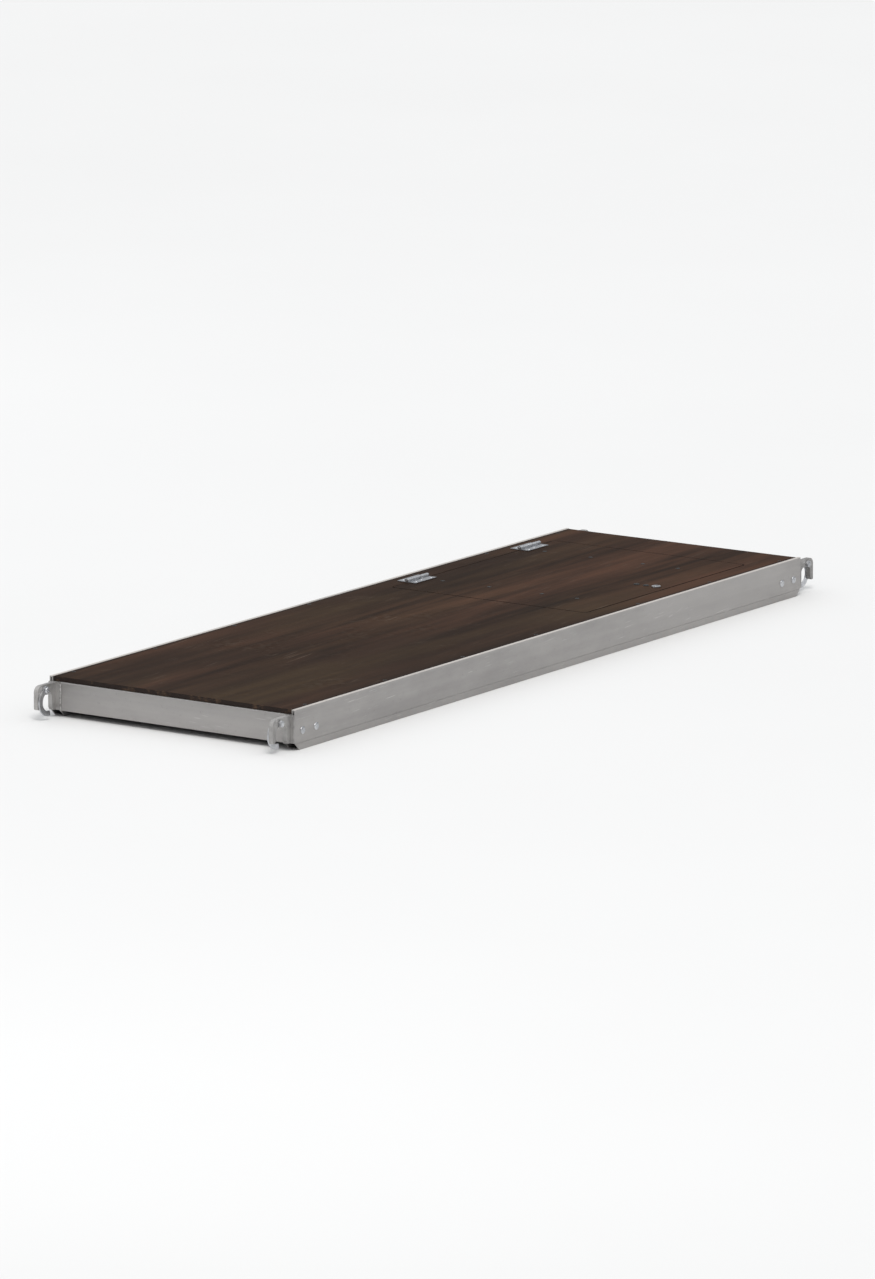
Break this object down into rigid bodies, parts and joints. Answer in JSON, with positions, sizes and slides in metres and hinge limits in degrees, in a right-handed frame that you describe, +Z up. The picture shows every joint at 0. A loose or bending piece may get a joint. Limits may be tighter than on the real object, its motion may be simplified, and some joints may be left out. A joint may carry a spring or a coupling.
{
  "type": "scaffold plank",
  "caption": "Scaffold plank: aluminium frame and film-faced plywood deck with rung hooks, swinging wind locks and a hinged trapdoor with a turn latch and pull strap.",
  "frame": {"origin": "middle of the plank, on the plane of the side rails' feet", "axes": "+Z up from the feet to the deck, +Y along the plank towards the trapdoor's end, +X across it towards the trapdoor's latch side"},
  "size_m": [0.6154, 2.061, 0.0927],
  "materials": {
    "rail_aluminium": "mill-finish extrusion, dulled by use",
    "cast_aluminium": "sand-cast, lightly blasted",
    "plywood": "dark brown phenolic film, slightly glossy, with lengthwise wear",
    "zinc_steel": "bright zinc plate",
    "black_steel": "black oxide",
    "black_plastic": "fine moulded texture",
    "webbing": "black woven polyester webbing"
  },
  "bodies": {
    "frame": {"side_rail_left": "rail_aluminium", "side_rail_right": "rail_aluminium", "end_beam_front": "rail_aluminium", "end_beam_rear": "rail_aluminium", "cross_member_front": "rail_aluminium", "cross_member_middle": "rail_aluminium", "hatch_trimmer_front": "rail_aluminium", "hatch_trimmer_rear": "rail_aluminium", "hatch_ledge_latch_side": "rail_aluminium", "hatch_ledge_hinge_side": "rail_aluminium", "hook_front_left": "cast_aluminium", "hook_front_right": "cast_aluminium", "hook_rear_left": "cast_aluminium", "hook_rear_right": "cast_aluminium", "deck_panel": "plywood", "pivot_bolt_front_left": "zinc_steel", "pivot_bolt_front_right": "zinc_steel", "pivot_bolt_rear_left": "zinc_steel", "pivot_bolt_rear_right": "zinc_steel", "pivot_nut_front_left": "zinc_steel", "pivot_nut_front_right": "zinc_steel", "pivot_nut_rear_left": "zinc_steel", "pivot_nut_rear_right": "zinc_steel", "hook_rivet_front_left_1": "zinc_steel", "hook_rivet_front_left_2": "zinc_steel", "hook_rivet_front_right_1": "zinc_steel", "hook_rivet_front_right_2": "zinc_steel", "hook_rivet_rear_left_1": "zinc_steel", "hook_rivet_rear_left_2": "zinc_steel", "hook_rivet_rear_right_1": "zinc_steel", "hook_rivet_rear_right_2": "zinc_steel", "hinge_fixed_plate_front": "zinc_steel", "hinge_pin_front": "zinc_steel", "hinge_fixed_plate_rear": "zinc_steel", "hinge_pin_rear": "zinc_steel"},
    "hatch": {"hatch_leaf": "plywood", "hatch_stiffener_front": "rail_aluminium", "hatch_stiffener_rear": "rail_aluminium", "hinge_moving_plate_front": "zinc_steel", "hinge_moving_plate_rear": "zinc_steel", "latch_base": "zinc_steel", "latch_rivet_1": "black_steel", "latch_rivet_2": "black_steel", "pull_strap": "webbing", "strap_plate": "zinc_steel", "strap_screw_1": "zinc_steel", "strap_screw_2": "zinc_steel"},
    "latch": {"latch_spindle": "zinc_steel", "latch_tongue": "zinc_steel", "latch_nut": "zinc_steel", "latch_knob": "black_plastic"},
    "wind_lock_front_left": {"wind_lock_front_left": "zinc_steel"},
    "wind_lock_front_right": {"wind_lock_front_right": "zinc_steel"},
    "wind_lock_rear_left": {"wind_lock_rear_left": "zinc_steel"},
    "wind_lock_rear_right": {"wind_lock_rear_right": "zinc_steel"}
  },
  "joints": [
    {"name": "hatch_hinge", "type": "hinge", "parent": "frame", "child": "hatch", "pos_m": [-0.2485, 0.51, 0.0882], "axis": [0, -1, 0], "range_deg": [0, 100]},
    {"name": "latch_turn", "type": "hinge", "parent": "hatch", "child": "latch", "pos_m": [0.222, 0.51, 0.0737], "axis": [0, 0, -1], "range_deg": [0, 90]},
    {"name": "wind_lock_front_left_swing", "type": "hinge", "parent": "frame", "child": "wind_lock_front_left", "pos_m": [-0.292, -1.00515, 0.06261], "axis": [-1, 0, 0], "range_deg": [0, 60]},
    {"name": "wind_lock_front_right_swing", "type": "hinge", "parent": "frame", "child": "wind_lock_front_right", "pos_m": [0.292, -1.00515, 0.06261], "axis": [-1, 0, 0], "range_deg": [0, 60]},
    {"name": "wind_lock_rear_left_swing", "type": "hinge", "parent": "frame", "child": "wind_lock_rear_left", "pos_m": [-0.292, 1.00515, 0.06261], "axis": [1, 0, 0], "range_deg": [0, 60]},
    {"name": "wind_lock_rear_right_swing", "type": "hinge", "parent": "frame", "child": "wind_lock_rear_right", "pos_m": [0.292, 1.00515, 0.06261], "axis": [1, 0, 0], "range_deg": [0, 60]}
  ]
}
